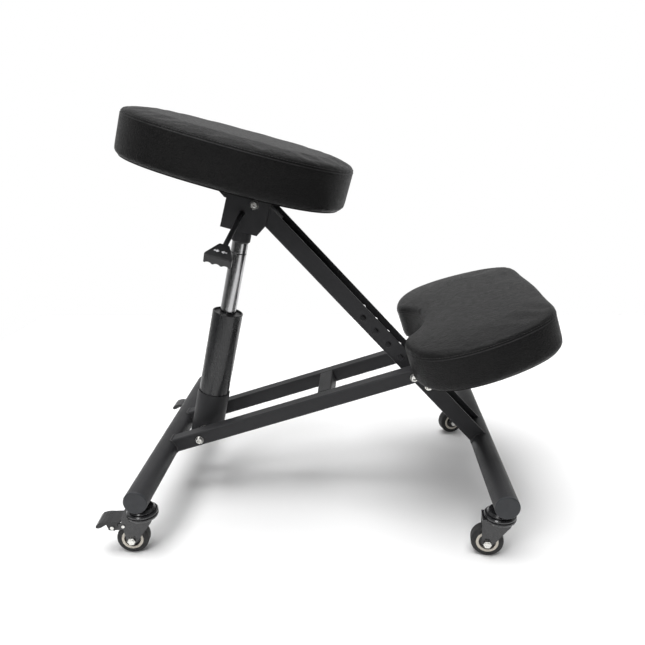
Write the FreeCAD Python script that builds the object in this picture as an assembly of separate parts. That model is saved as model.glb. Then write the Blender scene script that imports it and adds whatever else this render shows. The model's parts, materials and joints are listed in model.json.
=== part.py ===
import FreeCAD, Part
import math
import os
from FreeCAD import Vector

# Kneeling chair with a gas-lift seat, in millimetres.
# +X points forwards, +Y to the chair's left, +Z up.
# The origin is on the floor, under the middle of the chair's bounding box.
# Every piece is drawn in a local frame and then placed. The sloping frames lie in XZ planes.

# ---------- driving dimensions: foot tubes and floor ----------
REAR_TUBE_X = -293.8
TUBE_SPACING = 562.8
TUBE_Z = 97.0
TUBE_R = 19.0
TUBE_WALL = 1.5
TUBE_HALF_LENGTH = 238.0
CAP_FACE = 3.0
CAP_PLUG = 10.0

# ---------- driving dimensions: linkage ----------
DIAGONAL_SLOPE = -47.7       # degrees, falling towards the front
FRONT_PIVOT_RISE = 188.0     # front tube centre to the rails' pivot, along the channel
SEAT_PIVOT_RISE = 576.6      # front tube centre to the seat's pivot, along the channel
LOWER_PIVOT_OUT = 64.2       # rear tube centre to the column's pivot, along the rails
COLUMN_LEAN = 13.2           # degrees forward from upright
SEAT_SLOPE = -15.9           # degrees, falling towards the front
BOLT_R = 4.0
RUNNING = 0.05               # radial clearance of a pivot

# ---------- driving dimensions: rails ----------
RAIL_SIZE = 25.0
RAIL_WALL = 1.5
RAIL_CORNER = 3.0
RAIL_Y = 57.0                # centre line of each rail from the middle plane
RAIL_PAST_PIVOT = 20.0
RAIL_LIFT = 1.6              # centre line of the rails above the line through their bolts
CROSS_BAR_OUT = 300.0

# ---------- driving dimensions: diagonal channel ----------
CHANNEL_WIDTH = 70.0
CHANNEL_HEIGHT = 29.5
CHANNEL_LIFT = 1.2           # middle of the channel above its line of holes
CHANNEL_WALL = 3.0
HOLE_PITCH = 32.0
HOLE_COUNT = 4               # spare holes above the rails' pivot
HOLE_R = 5.5
TOP_COVER_LENGTH = 47.0
TOP_COVER_RECESS = 5.0       # top cover below the channel's edges

# ---------- driving dimensions: gas column ----------
SOCKET_R = 28.8
SOCKET_BORE = 27.1
SOCKET_BOTTOM = -22.0
SOCKET_TOP = 68.0
OUTER_TUBE_R = 26.8
OUTER_TUBE_BORE = 24.5
OUTER_TUBE_BOTTOM = 12.0
OUTER_TUBE_TOP = 222.5
CYLINDER_R = 14.0
CYLINDER_BORE = 12.2
CYLINDER_BOTTOM = 158.0
CYLINDER_TOP = 392.0
CYLINDER_TOP_R = 13.0
ROD_R = 5.0
ROD_TOP = 200.0
HUB_R = 16.5
HUB_BOTTOM = 350.0
LEVER_HEIGHT = 404.0

# ---------- driving dimensions: seat ----------
SEAT_BASE = 24.6             # underside of the seat above its pivot, square to the seat
SEAT_THICKNESS = 75.4
SEAT_CENTRE = -50.0          # seat centre from the pivot, along the seat
SEAT_LENGTH = 381.0
SEAT_WIDTH = 320.0
SEAT_TAPER = 9.0             # half widths differ by this much from the middle to each end
SEAT_POWER = 2.35            # roundness of the oval outline
BOARD = 12.0
BOARD_INSET = 9.0

# ---------- driving dimensions: knee pad ----------
KNEE_SLOPE = 17.2            # degrees, rising towards the front
KNEE_FROM_FRONT_TUBE = -103.2
KNEE_HEIGHT = 259.4
KNEE_THICKNESS = 66.0
# outline points from the frame's origin, forward and sideways, for the left half
KNEE_OUTLINE = [(16.5, 0.0), (-13.0, 74.0), (-26.5, 94.0), (10.0, 196.0), (184.0, 171.0), (205.0, 0.0)]

# ---------- driving dimensions: casters ----------
WHEEL_R = 25.0
WHEEL_WIDTH = 20.0
TRAIL = 17.6
HEAD_R = 24.5
HEAD_BOTTOM = 62.0
SHELF_TOP = 66.5
HEAD_TOP = 72.5
RACE_R = 20.5
STEM_R = 5.0
NUT_BOTTOM = 86.5
LEG_INNER = 11.2
LEG_THICKNESS = 2.5
AXLE_R = 4.0
HUB_RIM_R = 17.0
BRAKE_PIVOT = (-45.2, 50.5)

# stem of each row's casters: forward from the foot tube's centre line, and out from the middle plane
STEM_PLACES = {"rear": (2.0, 218.0), "front": (-4.0, 214.0)}

# row, side and swivel of each caster at rest, in degrees about the vertical
CASTERS = {
    "rear_right": ("rear", -1, 4.0),
    "rear_left": ("rear", 1, 0.0),
    "front_right": ("front", -1, -7.0),
    "front_left": ("front", 1, 18.0),
}

X_AXIS = Vector(1, 0, 0)
Y_AXIS = Vector(0, 1, 0)
Z_AXIS = Vector(0, 0, 1)
ZERO = Vector(0, 0, 0)


# ---------- frames ----------
class Frame:
    """A frame in an XZ plane: local X runs up the slope, local Z is square to it."""

    def __init__(self, x, z, slope):
        self.origin = Vector(x, 0, z)
        self.slope = slope

    def place(self, shape):
        shape = shape.copy()
        shape.rotate(ZERO, Y_AXIS, -self.slope)
        shape.translate(self.origin)
        return shape

    def point(self, along, square, y=0.0):
        angle = math.radians(self.slope)
        x = self.origin.x + along * math.cos(angle) - square * math.sin(angle)
        z = self.origin.z + along * math.sin(angle) + square * math.cos(angle)
        return Vector(x, y, z)

    def local(self, point):
        """Return a world point's distances along and square to the slope."""
        angle = math.radians(self.slope)
        dx = point.x - self.origin.x
        dz = point.z - self.origin.z
        return (dx * math.cos(angle) + dz * math.sin(angle), dz * math.cos(angle) - dx * math.sin(angle))


FRONT_TUBE_X = REAR_TUBE_X + TUBE_SPACING
DIAGONAL = Frame(FRONT_TUBE_X, TUBE_Z, DIAGONAL_SLOPE)
FRONT_PIVOT = DIAGONAL.point(-FRONT_PIVOT_RISE, 0)
SEAT_PIVOT = DIAGONAL.point(-SEAT_PIVOT_RISE, 0)
RAIL_RUN = FRONT_PIVOT.x - REAR_TUBE_X
RAIL_RISE = FRONT_PIVOT.z - TUBE_Z
RAILS = Frame(REAR_TUBE_X, TUBE_Z, math.degrees(math.atan2(RAIL_RISE, RAIL_RUN)))
FRONT_PIVOT_OUT = math.hypot(RAIL_RUN, RAIL_RISE)
LOWER_PIVOT = RAILS.point(LOWER_PIVOT_OUT, 0)
COLUMN = Frame(LOWER_PIVOT.x, LOWER_PIVOT.z, -COLUMN_LEAN)
SEAT = Frame(SEAT_PIVOT.x, SEAT_PIVOT.z, SEAT_SLOPE)
KNEE = Frame(FRONT_TUBE_X + KNEE_FROM_FRONT_TUBE, KNEE_HEIGHT, KNEE_SLOPE)


# ---------- basic shapes ----------
def cylinder(radius, length, start, direction):
    return Part.makeCylinder(radius, length, start, direction)


def ring(outer, inner, length, start, direction):
    return cylinder(outer, length, start, direction).cut(cylinder(inner, length, start, direction))


def box(x0, x1, y0, y1, z0, z1):
    return Part.makeBox(x1 - x0, y1 - y0, z1 - z0, Vector(x0, y0, z0))


def plate(points, y0, y1):
    """Extrude an outline of (x, z) points from y0 to y1."""
    corners = [Vector(x, y0, z) for x, z in points]
    face = Part.Face(Part.makePolygon(corners + corners[:1]))
    return face.extrude(Vector(0, y1 - y0, 0))


def revolve_z(profile):
    """Turn an outline of (radius, z) points about the local Z axis."""
    corners = [Vector(r, 0, z) for r, z in profile]
    face = Part.Face(Part.makePolygon(corners + corners[:1]))
    return face.revolve(ZERO, Z_AXIS, 360)


def fillet_along(shape, direction, radius):
    """Round the straight edges that run along a direction."""
    edges = []
    for edge in shape.Edges:
        if isinstance(edge.Curve, Part.Line) and abs(edge.Curve.Direction.dot(direction)) > 0.999:
            edges.append(edge)
    return shape.makeFillet(radius, edges)


def group(shapes):
    return Part.makeCompound(shapes)


def mirrored(shape):
    return shape.mirror(ZERO, Y_AXIS)


def hexagon(across_flats, height, centre, direction):
    """Make a hexagonal prism on an axis along Y or Z."""
    corner = across_flats / math.sqrt(3)
    points = []
    for k in range(7):
        angle = math.radians(60 * k)
        if abs(direction.y) > 0.5:
            points.append(centre + Vector(corner * math.cos(angle), 0, corner * math.sin(angle)))
        else:
            points.append(centre + Vector(corner * math.cos(angle), corner * math.sin(angle), 0))
    return Part.Face(Part.makePolygon(points)).extrude(direction * height)


def cross_bolt(half_grip, radius, head_r=7.0, washer_r=7.2, socket_af=6.5):
    """Make a button-head bolt along Y with a washer under each end and a lock nut, about the origin."""
    washer = 1.2
    head = 4.2
    nut = 6.5
    face = half_grip + washer
    shank = cylinder(radius, 2 * face + nut + 2, Vector(0, -face, 0), Y_AXIS)
    dome = Part.makeCone(head_r * 0.72, head_r, head, Vector(0, -face - head, 0), Y_AXIS)
    socket = hexagon(socket_af, 3.2, Vector(0, -face - head, 0), Y_AXIS)
    bolt = shank.fuse(dome).cut(socket)
    near_washer = ring(washer_r, radius, washer, Vector(0, -face, 0), Y_AXIS)
    far_washer = ring(washer_r, radius, washer, Vector(0, half_grip, 0), Y_AXIS)
    lock_nut = hexagon(13.0, nut, Vector(0, face, 0), Y_AXIS).cut(cylinder(radius, nut, Vector(0, face, 0), Y_AXIS))
    return group([bolt, near_washer, far_washer, lock_nut])


def hex_bolt_up(radius, length, head_af, head_height):
    """Make a hexagon bolt that points up, with the head's top face at the origin's height."""
    head = hexagon(head_af, head_height, Vector(0, 0, -head_height), Z_AXIS)
    return head.fuse(cylinder(radius, length, ZERO, Z_AXIS))


# ---------- foot tubes ----------
def foot_tube(x, row):
    start = Vector(x, -TUBE_HALF_LENGTH, TUBE_Z)
    tube = ring(TUBE_R, TUBE_R - TUBE_WALL, 2 * TUBE_HALF_LENGTH, start, Y_AXIS)
    forward, out = STEM_PLACES[row]
    for side in (-1, 1):
        stem_hole = cylinder(STEM_R, TUBE_R, Vector(x + forward, side * out, TUBE_Z - TUBE_R - 1), Z_AXIS)
        tube = tube.cut(stem_hole)
    return tube


def tube_caps(x):
    """Make the two plastic plugs that close a foot tube, with a rounded face."""
    caps = []
    for side in (-1, 1):
        inner = Vector(x, side * TUBE_HALF_LENGTH, TUBE_Z)
        out = Vector(0, side, 0)
        face = cylinder(TUBE_R, CAP_FACE, inner, out)
        rim = [e for e in face.Edges if abs(e.BoundBox.YMin) > TUBE_HALF_LENGTH + 1 and e.Closed]
        rim = [e for e in rim if abs(e.BoundBox.YMax - e.BoundBox.YMin) < 0.01]
        face = face.makeFillet(1.8, rim)
        plug = ring(TUBE_R - TUBE_WALL, TUBE_R - TUBE_WALL - 2.0, CAP_PLUG, inner, out.negative())
        caps.append(face.fuse(plug))
    return group(caps)


# ---------- rear frame ----------
def rail(side):
    length = FRONT_PIVOT_OUT + RAIL_PAST_PIVOT
    half = RAIL_SIZE / 2
    y = side * RAIL_Y
    outer = fillet_along(box(8, length, y - half, y + half, -half, half), X_AXIS, RAIL_CORNER)
    bore = half - RAIL_WALL
    tube = outer.cut(box(7, length + 1, y - bore, y + bore, -bore, bore))
    tube.translate(Vector(0, 0, RAIL_LIFT))
    for out in (LOWER_PIVOT_OUT, FRONT_PIVOT_OUT):
        tube = tube.cut(cylinder(BOLT_R, 4 * half, Vector(out, y - 2 * half, 0), Y_AXIS))
    tube = RAILS.place(tube)
    return tube.cut(cylinder(TUBE_R, 400, Vector(REAR_TUBE_X, -200, TUBE_Z), Y_AXIS))


def cross_bar():
    half = RAIL_SIZE / 2
    reach = RAIL_Y - half
    bore = half - RAIL_WALL
    near = CROSS_BAR_OUT - half
    bar = fillet_along(box(near, near + RAIL_SIZE, -reach, reach, -half, half), Y_AXIS, RAIL_CORNER)
    bar = bar.cut(box(near + RAIL_WALL, near + RAIL_SIZE - RAIL_WALL, -reach, reach, -bore, bore))
    bar.translate(Vector(0, 0, RAIL_LIFT))
    return RAILS.place(bar)


def rail_end_plugs():
    half = RAIL_SIZE / 2
    bore = half - RAIL_WALL
    end = FRONT_PIVOT_OUT + RAIL_PAST_PIVOT
    plugs = []
    for side in (-1, 1):
        y = side * RAIL_Y
        flange = fillet_along(box(end, end + 2.5, y - half, y + half, -half, half), X_AXIS, RAIL_CORNER)
        plug = flange.fuse(box(end - 10, end, y - bore, y + bore, -bore, bore))
        plug.translate(Vector(0, 0, RAIL_LIFT))
        plugs.append(RAILS.place(plug))
    return group(plugs)


def front_pivot_spacers():
    inner = CHANNEL_WIDTH / 2 + 0.4
    outer = RAIL_Y - RAIL_SIZE / 2
    spacers = []
    for side in (-1, 1):
        start = Vector(FRONT_PIVOT.x, side * inner, FRONT_PIVOT.z)
        spacers.append(ring(8.5, BOLT_R, outer - inner, start, Vector(0, side, 0)))
    return group(spacers)


def bolt_at(point, half_grip):
    bolt = cross_bolt(half_grip, BOLT_R)
    bolt.translate(Vector(point.x, 0, point.z))
    return bolt


# ---------- gas column ----------
def column_socket():
    tube = ring(SOCKET_R, SOCKET_BORE, SOCKET_TOP - SOCKET_BOTTOM, Vector(0, 0, SOCKET_BOTTOM), Z_AXIS)
    return COLUMN.place(tube.cut(cylinder(9.0, 80, Vector(0, -40, 0), Y_AXIS)))


def column_pivot_tube():
    half = RAIL_Y - RAIL_SIZE / 2 - 0.3
    return COLUMN.place(ring(9.0, BOLT_R + RUNNING, 2 * half, Vector(0, -half, 0), Y_AXIS))


def gas_outer_tube():
    length = OUTER_TUBE_TOP - OUTER_TUBE_BOTTOM
    tube = cylinder(OUTER_TUBE_R, length, Vector(0, 0, OUTER_TUBE_BOTTOM), Z_AXIS)
    rim = [e for e in tube.Edges if e.Closed and e.BoundBox.ZMin > OUTER_TUBE_TOP - 1]
    tube = tube.makeFillet(1.2, rim)
    tube = tube.cut(cylinder(OUTER_TUBE_BORE, length, Vector(0, 0, OUTER_TUBE_BOTTOM + 3), Z_AXIS))
    return COLUMN.place(tube.cut(cylinder(6.0, 10, Vector(0, 0, OUTER_TUBE_BOTTOM - 1), Z_AXIS)))


def guide_bush():
    bush = ring(OUTER_TUBE_BORE, CYLINDER_R + RUNNING, 59, Vector(0, 0, OUTER_TUBE_TOP - 62), Z_AXIS)
    return COLUMN.place(bush)


def piston_rod():
    bottom = OUTER_TUBE_BOTTOM - 1.5
    rod = cylinder(ROD_R, ROD_TOP - bottom, Vector(0, 0, bottom), Z_AXIS)
    piston = cylinder(CYLINDER_BORE - 0.1, 10, Vector(0, 0, ROD_TOP - 10), Z_AXIS)
    return COLUMN.place(rod.fuse(piston))


def rod_clip():
    return COLUMN.place(ring(8.5, ROD_R, 1.0, Vector(0, 0, OUTER_TUBE_BOTTOM - 1.1), Z_AXIS))


def thrust_bearing():
    race = ring(13.0, ROD_R, 4, Vector(0, 0, OUTER_TUBE_BOTTOM + 3), Z_AXIS)
    bumper = ring(11.0, ROD_R, 12, Vector(0, 0, OUTER_TUBE_BOTTOM + 7), Z_AXIS)
    return COLUMN.place(group([race, bumper]))


# ---------- seat ----------
def gas_cylinder():
    neck = HUB_BOTTOM - 2
    body = cylinder(CYLINDER_R, neck - CYLINDER_BOTTOM, Vector(0, 0, CYLINDER_BOTTOM), Z_AXIS)
    taper = Part.makeCone(CYLINDER_R, CYLINDER_TOP_R, CYLINDER_TOP - neck, Vector(0, 0, neck), Z_AXIS)
    groove = ring(CYLINDER_R + 1, CYLINDER_R - 0.4, 1.2, Vector(0, 0, neck - 17), Z_AXIS)
    gland_top = CYLINDER_BOTTOM + 12
    chamber = cylinder(CYLINDER_BORE, CYLINDER_TOP - 18 - gland_top, Vector(0, 0, gland_top), Z_AXIS)
    rod_bore = cylinder(ROD_R + RUNNING, 20, Vector(0, 0, CYLINDER_BOTTOM - 1), Z_AXIS)
    pin_bore = cylinder(3.55, 30, Vector(0, 0, CYLINDER_TOP - 19), Z_AXIS)
    shape = body.fuse(taper).removeSplitter()
    for tool in (groove, chamber, rod_bore, pin_bore):
        shape = shape.cut(tool)
    return COLUMN.place(shape)


def release_pin():
    """Make the valve button that stands out of the top of the gas cylinder."""
    bottom = CYLINDER_TOP - 11
    shank = cylinder(3.5, 17, Vector(0, 0, bottom), Z_AXIS)
    tip = Part.makeCone(3.5, 2.2, 1.2, Vector(0, 0, bottom + 17), Z_AXIS)
    return COLUMN.place(shank.fuse(tip))


def cone_hub():
    outer = revolve_z([
        (0, HUB_BOTTOM), (HUB_R - 2.5, HUB_BOTTOM), (HUB_R, HUB_BOTTOM + 2.5),
        (HUB_R, CYLINDER_TOP + 1), (0, CYLINDER_TOP + 1),
    ])
    neck = HUB_BOTTOM - 2
    taper = Part.makeCone(CYLINDER_R, CYLINDER_TOP_R, CYLINDER_TOP - neck, Vector(0, 0, neck), Z_AXIS)
    over = cylinder(CYLINDER_TOP_R, 5, Vector(0, 0, CYLINDER_TOP), Z_AXIS)
    return COLUMN.place(outer.cut(taper).cut(over))


CHEEK_INNER = 36.5
CHEEK_OUTER = 39.0
BRACKET_BOTTOM = -48.7
BRACKET_REAR = -47.3
PLATE_THICKNESS = 3.0
PLATE_BOTTOM = SEAT_BASE - PLATE_THICKNESS


def seat_bracket():
    """Make the folded bracket: two cheeks, a rear web and a floor that holds the hub."""
    outline = [
        (BRACKET_REAR, PLATE_BOTTOM), (BRACKET_REAR, BRACKET_BOTTOM), (14.8, BRACKET_BOTTOM),
        (24.9, -27.4), (24.9, PLATE_BOTTOM),
    ]
    wall = CHEEK_OUTER - CHEEK_INNER
    bracket = plate(outline, CHEEK_INNER, CHEEK_OUTER)
    bracket = bracket.fuse(plate(outline, -CHEEK_OUTER, -CHEEK_INNER))
    floor = box(BRACKET_REAR, 14.8, -CHEEK_INNER, CHEEK_INNER, BRACKET_BOTTOM, BRACKET_BOTTOM + wall)
    web = box(BRACKET_REAR, BRACKET_REAR + wall, -CHEEK_INNER, CHEEK_INNER, BRACKET_BOTTOM, PLATE_BOTTOM)
    bracket = bracket.fuse(floor).fuse(web)
    bracket = bracket.cut(cylinder(BOLT_R, 100, Vector(0, -50, 0), Y_AXIS))
    bracket = SEAT.place(bracket)
    hub = COLUMN.place(cylinder(HUB_R, 60, Vector(0, 0, HUB_BOTTOM - 5), Z_AXIS))
    fulcrum = COLUMN.place(cylinder(4.6, 100, Vector(0, -50, LEVER_HEIGHT), Y_AXIS))
    return bracket.cut(hub).cut(fulcrum)


PLATE_REAR = -85.0
PLATE_FRONT = 62.0
PLATE_HALF_WIDTH = 60.0
PLATE_BOLTS = [(PLATE_REAR + 12, 47.0), (PLATE_FRONT - 12, 47.0)]


def seat_mount_plate():
    """Make the flat plate under the seat, with a sloping gusset down to the bracket's rear."""
    flat = box(PLATE_REAR, PLATE_FRONT, -PLATE_HALF_WIDTH, PLATE_HALF_WIDTH, PLATE_BOTTOM, SEAT_BASE)
    flat = fillet_along(flat, Z_AXIS, 10)
    gusset = plate([
        (PLATE_REAR + 3, PLATE_BOTTOM), (-50.5, -0.5), (BRACKET_REAR, -0.5),
        (BRACKET_REAR, 3.0), (PLATE_REAR + 9, PLATE_BOTTOM),
    ], -CHEEK_OUTER, CHEEK_OUTER)
    shape = flat.fuse(gusset)
    for x, y in PLATE_BOLTS:
        for side in (-1, 1):
            shape = shape.cut(cylinder(3.0, 60, Vector(x, side * y, SEAT_BASE - 50), Z_AXIS))
    return SEAT.place(shape)


def plate_bolts(frame, spots, plate_bottom, length):
    bolts = []
    for x, y in spots:
        for side in (-1, 1):
            bolt = hex_bolt_up(3.0, length, 10.0, 4.0)
            bolt.translate(Vector(x, side * y, plate_bottom))
            bolts.append(frame.place(bolt))
    return group(bolts)


def tee_nuts(frame, spots, board_bottom):
    """Make the flanged nuts pressed into a board from above."""
    nuts = []
    for x, y in spots:
        for side in (-1, 1):
            barrel = ring(4.0, 3.0, BOARD - 1.5, Vector(x, side * y, board_bottom), Z_AXIS)
            flange = ring(9.0, 3.0, 1.5, Vector(x, side * y, board_bottom + BOARD - 1.5), Z_AXIS)
            nuts.append(frame.place(barrel.fuse(flange)))
    return group(nuts)


def periodic_face(points, z):
    """Make a face inside one smooth closed curve through (x, y) points."""
    vectors = [Vector(x, y, z) for x, y in points]
    parameters = [0.0]
    for k in range(len(vectors)):
        step = vectors[(k + 1) % len(vectors)].sub(vectors[k]).Length
        parameters.append(parameters[-1] + math.sqrt(step))
    curve = Part.BSplineCurve()
    curve.interpolate(Points=vectors, Parameters=parameters, PeriodicFlag=True)
    return Part.Face(Part.Wire(curve.toShape()))


def oval(inset):
    """Return points on the seat's outline: a rounded oval, a little wider at the front."""
    count = 32
    points = []
    for k in range(count):
        angle = 2 * math.pi * (k + 0.5) / count
        c = math.cos(angle)
        s = math.sin(angle)
        reach = abs(c) ** (2 / SEAT_POWER) * math.copysign(1, c)
        x = (SEAT_LENGTH / 2 - inset) * reach
        half_width = SEAT_WIDTH / 2 - inset + SEAT_TAPER * reach
        points.append((SEAT_CENTRE + x, half_width * abs(s) ** (2 / SEAT_POWER) * math.copysign(1, s)))
    return points


def kidney(inset):
    """Return points on the knee pad's outline, moved inwards towards a spine across the pad."""
    spine = 80.0
    right = [(x, -y) for x, y in KNEE_OUTLINE[-2:0:-1]]
    points = []
    for x, y in KNEE_OUTLINE + right:
        reach = math.hypot(x - spine, y)
        scale = (reach - inset) / reach
        points.append((spine + (x - spine) * scale, y * scale))
    return points


def rounded_pad(points, bottom, top, top_round, bottom_round):
    """Extrude an outline and round its upper and lower edges."""
    solid = periodic_face(points, bottom).extrude(Vector(0, 0, top - bottom))
    for height, radius in ((top, top_round), (bottom, bottom_round)):
        edges = []
        for edge in solid.Edges:
            bounds = edge.BoundBox
            if abs(bounds.ZMin - height) < 0.01 and abs(bounds.ZMax - height) < 0.01:
                edges.append(edge)
        solid = solid.makeFillet(radius, edges)
    return solid


def padded_cushion(frame, outline, bottom, thickness):
    """Make a cushion's outer shape with a recess below for its board."""
    pad = rounded_pad(outline(0.0), bottom, bottom + thickness, 14.0, 5.0)
    recess = periodic_face(outline(BOARD_INSET), bottom - 1).extrude(Vector(0, 0, BOARD + 1))
    return frame.place(pad.cut(recess))


def board(frame, outline, bottom, spots):
    shape = periodic_face(outline(BOARD_INSET), bottom).extrude(Vector(0, 0, BOARD))
    for x, y in spots:
        for side in (-1, 1):
            centre = Vector(x, side * y, bottom)
            shape = shape.cut(cylinder(4.0, BOARD, centre, Z_AXIS))
            shape = shape.cut(cylinder(9.0, 1.5, centre + Vector(0, 0, BOARD - 1.5), Z_AXIS))
    return frame.place(shape)


def seat_pivot_spacer():
    half = CHANNEL_WIDTH / 2 - CHANNEL_WALL - 0.3
    return SEAT.place(ring(7.0, BOLT_R, 2 * half, Vector(0, -half, 0), Y_AXIS))


# ---------- lift lever ----------
LEVER_PIVOT = COLUMN.point(0, LEVER_HEIGHT, -37.75)
LEVER_BEND = COLUMN.point(0, LEVER_HEIGHT, -46.0)
LEVER_GRIP = COLUMN.point(-2.5, LEVER_HEIGHT - 39.0, -140.5)
GRIP_LENGTH = 37.5
GRIP_THICKNESS = 14.5
GRIP_WIDTH = 42.0
GRIP_NECK = 16.0
GRIP_TIP = 7.0               # length of the straight sides at the tip
LEVER_ROD_R = 4.0


def lever_rod():
    """Make the bent rod: straight through the bracket, then sloping out to the grip."""
    inner = COLUMN.point(0, LEVER_HEIGHT, 9.0)
    slope = LEVER_GRIP.sub(LEVER_BEND).normalize()
    end = LEVER_GRIP + slope * 20
    bend_cut = 10.0
    first = LEVER_BEND + Vector(0, bend_cut, 0)
    last = LEVER_BEND + slope * bend_cut
    middle_dir = (Vector(0, -1, 0) + slope).normalize()
    turn = math.acos(max(-1.0, min(1.0, Vector(0, -1, 0).dot(slope))))
    bend_r = bend_cut / math.tan(turn / 2)
    inward = (slope - Vector(0, -1, 0)).normalize()
    middle = LEVER_BEND + inward * (bend_r / math.cos(turn / 2) - bend_r)
    path = Part.Wire([
        Part.LineSegment(inner, first).toShape(),
        Part.Arc(first, middle, last).toShape(),
        Part.LineSegment(last, end).toShape(),
    ])
    circle = Part.Wire(Part.makeCircle(LEVER_ROD_R, inner, Vector(0, -1, 0)))
    return path.makePipeShell([circle], True, False)


def grip_placed(shape):
    """Move a shape from the grip's own frame, where +X runs out along the grip and Z is its top.

    The grip's width lies along the seat's slope.
    """
    along = LEVER_GRIP.sub(LEVER_BEND).normalize()
    forward = SEAT.point(1, 0).sub(SEAT.point(0, 0))
    up = forward.cross(along).negative().normalize()
    across = up.cross(along)
    matrix = FreeCAD.Matrix(
        along.x, across.x, up.x, LEVER_GRIP.x,
        along.y, across.y, up.y, LEVER_GRIP.y,
        along.z, across.z, up.z, LEVER_GRIP.z,
        0, 0, 0, 1)
    placed = shape.copy()
    placed.transformShape(matrix)
    return placed


def lever_grip():
    """Make the moulded paddle: a wide grip with chamfered edges and finger hollows underneath."""
    half = GRIP_THICKNESS / 2
    neck = GRIP_NECK / 2
    wide = GRIP_WIDTH / 2
    shoulder = GRIP_LENGTH - GRIP_TIP
    outline = [
        (0, -neck), (0, neck), (shoulder, wide), (GRIP_LENGTH, wide), (GRIP_LENGTH, -wide), (shoulder, -wide),
    ]
    corners = [Vector(x, y, -half) for x, y in outline]
    body = Part.Face(Part.makePolygon(corners + corners[:1])).extrude(Vector(0, 0, GRIP_THICKNESS))
    body = fillet_along(body, Z_AXIS, 3.5)
    top = [e for e in body.Edges if e.BoundBox.ZMin > half - 0.01]
    body = body.makeChamfer(1.6, top)
    hollow_r = 7.0
    for k in (-1, 0, 1):
        centre = Vector(GRIP_LENGTH * 0.45, k * 13.0, -half - hollow_r + 2.4)
        body = body.cut(cylinder(hollow_r, GRIP_LENGTH, centre, X_AXIS))
    body = body.cut(cylinder(LEVER_ROD_R, 20, ZERO, X_AXIS))
    return grip_placed(body)


# ---------- front frame ----------
CHANNEL_LOW = CHANNEL_LIFT - CHANNEL_HEIGHT / 2
CHANNEL_HIGH = CHANNEL_LIFT + CHANNEL_HEIGHT / 2


def diagonal_channel():
    """Make the U channel, open on its upper side, with round upper ends and a row of holes."""
    edge = CHANNEL_WIDTH / 2
    inner = edge - CHANNEL_WALL
    solid = box(-SEAT_PIVOT_RISE, 0, -edge, edge, CHANNEL_LOW, CHANNEL_HIGH)
    low_edges = []
    for e in solid.Edges:
        bounds = e.BoundBox
        if bounds.ZMax < CHANNEL_LOW + 0.01 and bounds.XMax - bounds.XMin > 100:
            low_edges.append(e)
    solid = solid.makeFillet(3.5, low_edges)
    solid = solid.cut(box(-SEAT_PIVOT_RISE - 1, 1, -inner, inner, CHANNEL_LOW + CHANNEL_WALL, CHANNEL_HIGH + 1))
    for side in (-1, 1):
        centre = Vector(-SEAT_PIVOT_RISE, side * inner, CHANNEL_LIFT)
        ear = cylinder(CHANNEL_HEIGHT / 2, CHANNEL_WALL, centre, Vector(0, side, 0))
        solid = solid.fuse(ear)
    solid = solid.removeSplitter()
    holes = [FRONT_PIVOT_RISE + HOLE_PITCH * k for k in range(HOLE_COUNT + 1)] + [SEAT_PIVOT_RISE]
    for rise in holes:
        solid = solid.cut(cylinder(HOLE_R, 100, Vector(-rise, -50, 0), Y_AXIS))
    for rise in KNEE_BOLT_RISES:
        solid = solid.cut(cylinder(3.0, 100, Vector(-rise, -50, 0), Y_AXIS))
    tube = cylinder(TUBE_R, 400, Vector(FRONT_TUBE_X, -200, TUBE_Z), Y_AXIS)
    shape = DIAGONAL.place(solid).cut(tube)
    return max(shape.Solids, key=lambda s: s.Volume)


def channel_top_cover():
    inner = CHANNEL_WIDTH / 2 - CHANNEL_WALL
    start = -SEAT_PIVOT_RISE - 4
    top = CHANNEL_HIGH - TOP_COVER_RECESS
    return DIAGONAL.place(box(start, start + TOP_COVER_LENGTH + 4, -inner, inner, top - 2.5, top))


def front_pivot_bushes():
    """Make the flanged bushes that line the channel's lowest holes."""
    inner = CHANNEL_WIDTH / 2 - CHANNEL_WALL
    bushes = []
    for side in (-1, 1):
        out = Vector(0, side, 0)
        sleeve = cylinder(HOLE_R, CHANNEL_WALL, Vector(0, side * inner, 0), out)
        flange = cylinder(8.5, 1.5, Vector(0, side * (inner - 1.5), 0), out)
        bore = cylinder(BOLT_R + RUNNING, 8, Vector(0, side * (inner - 2), 0), out)
        bush = sleeve.fuse(flange).cut(bore)
        bush.translate(FRONT_PIVOT)
        bushes.append(bush)
    return group(bushes)


KNEE_BOLT_RISES = (146.0, 168.0)
KNEE_PLATE_REAR = 14.0
KNEE_PLATE_FRONT = 130.0
KNEE_PLATE_BOLTS = [(KNEE_PLATE_REAR + 22, 40.0), (KNEE_PLATE_FRONT - 12, 40.0)]
KNEE_GUSSET_Y = 31.5


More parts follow.
